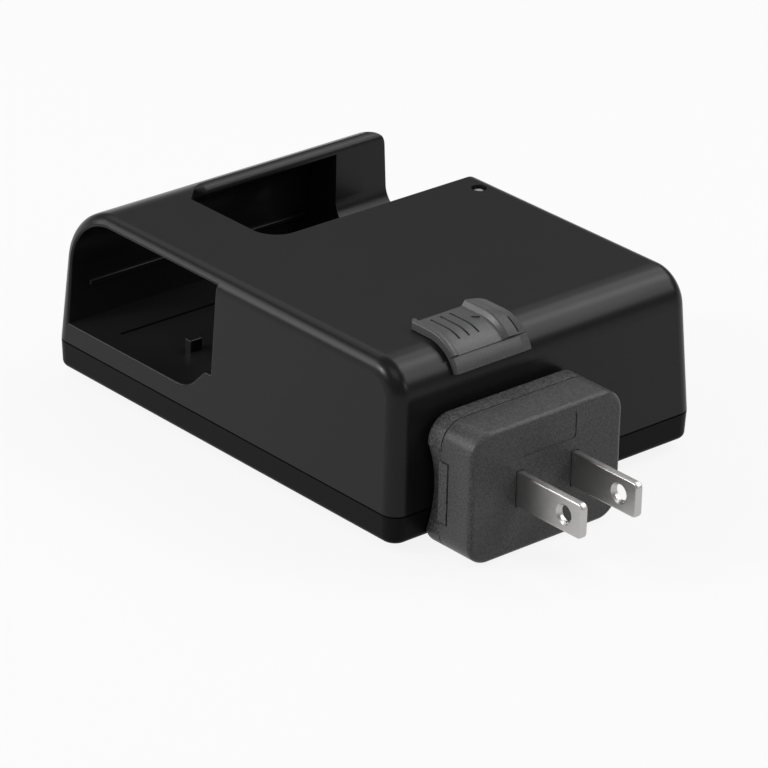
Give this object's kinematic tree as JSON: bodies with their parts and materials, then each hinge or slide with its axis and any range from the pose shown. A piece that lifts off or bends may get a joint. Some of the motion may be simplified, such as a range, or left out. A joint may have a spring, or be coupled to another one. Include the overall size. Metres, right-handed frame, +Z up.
{
  "type": "battery charger",
  "caption": "Slide-in battery charger with a roof notch, a spring-returned slide latch and a wall plug adapter that turns on the mains inlet.",
  "frame": {"origin": "centre of the housing's standing panel, on the surface the charger stands on", "axes": "+Z up, -Y towards the wall plug, -X out of the battery bay's mouth"},
  "size_m": [0.071, 0.1232, 0.0366],
  "materials": {
    "housing_black": "fine spark texture",
    "latch_grey": "fine spark texture",
    "adapter_grey": "coarse spark texture",
    "blade_nickel": "nickel plated, brushed",
    "screw_steel": "zinc plated",
    "spring_steel": "drawn wire",
    "contact_brass": "stamped",
    "contact_nickel": "plated",
    "board_green": "solder mask",
    "ferrite": "sintered",
    "tape_yellow": "wound tape",
    "film_yellow": "moulded",
    "sleeve_black": "shrink sleeve",
    "component_black": "moulded",
    "sink_aluminium": "rolled",
    "lamp_clear": "clear, polished"
  },
  "bodies": {
    "housing": {"cover": "housing_black", "base": "housing_black", "base_screws": "screw_steel", "circuit_board": "board_green", "transformer_core": "ferrite", "transformer_winding": "tape_yellow", "bulk_capacitor": "sleeve_black", "output_capacitors": "sleeve_black", "filter_capacitor": "film_yellow", "line_choke": "ferrite", "fuse": "component_black", "rectifier": "component_black", "optocoupler": "component_black", "heat_sink": "sink_aluminium", "switch_transistor": "component_black", "charge_lamp": "lamp_clear", "lamp_guide": "lamp_clear", "ac_inlet": "component_black", "inlet_pins": "contact_brass", "battery_contacts": "contact_nickel", "contact_block": "component_black", "latch_spring": "spring_steel", "adapter_core": "component_black", "contact_arcs": "contact_brass"},
    "latch": {"latch": "latch_grey"},
    "adapter": {"adapter_front": "adapter_grey", "adapter_rear": "adapter_grey", "plug_blades": "blade_nickel"}
  },
  "joints": [
    {"name": "latch_slide", "type": "slide", "parent": "housing", "child": "latch", "axis": [1, 0, 0], "range_m": [0, 0.004], "stiffness_N_per_m": 200, "springref_m": -0.002, "deforming": ["latch_spring"]},
    {"name": "adapter_turn", "type": "hinge", "parent": "housing", "child": "adapter", "pos_m": [-0.0113, -0.0516, 0.0129], "axis": [0, -1, 0], "range_deg": [0, 90]}
  ]
}
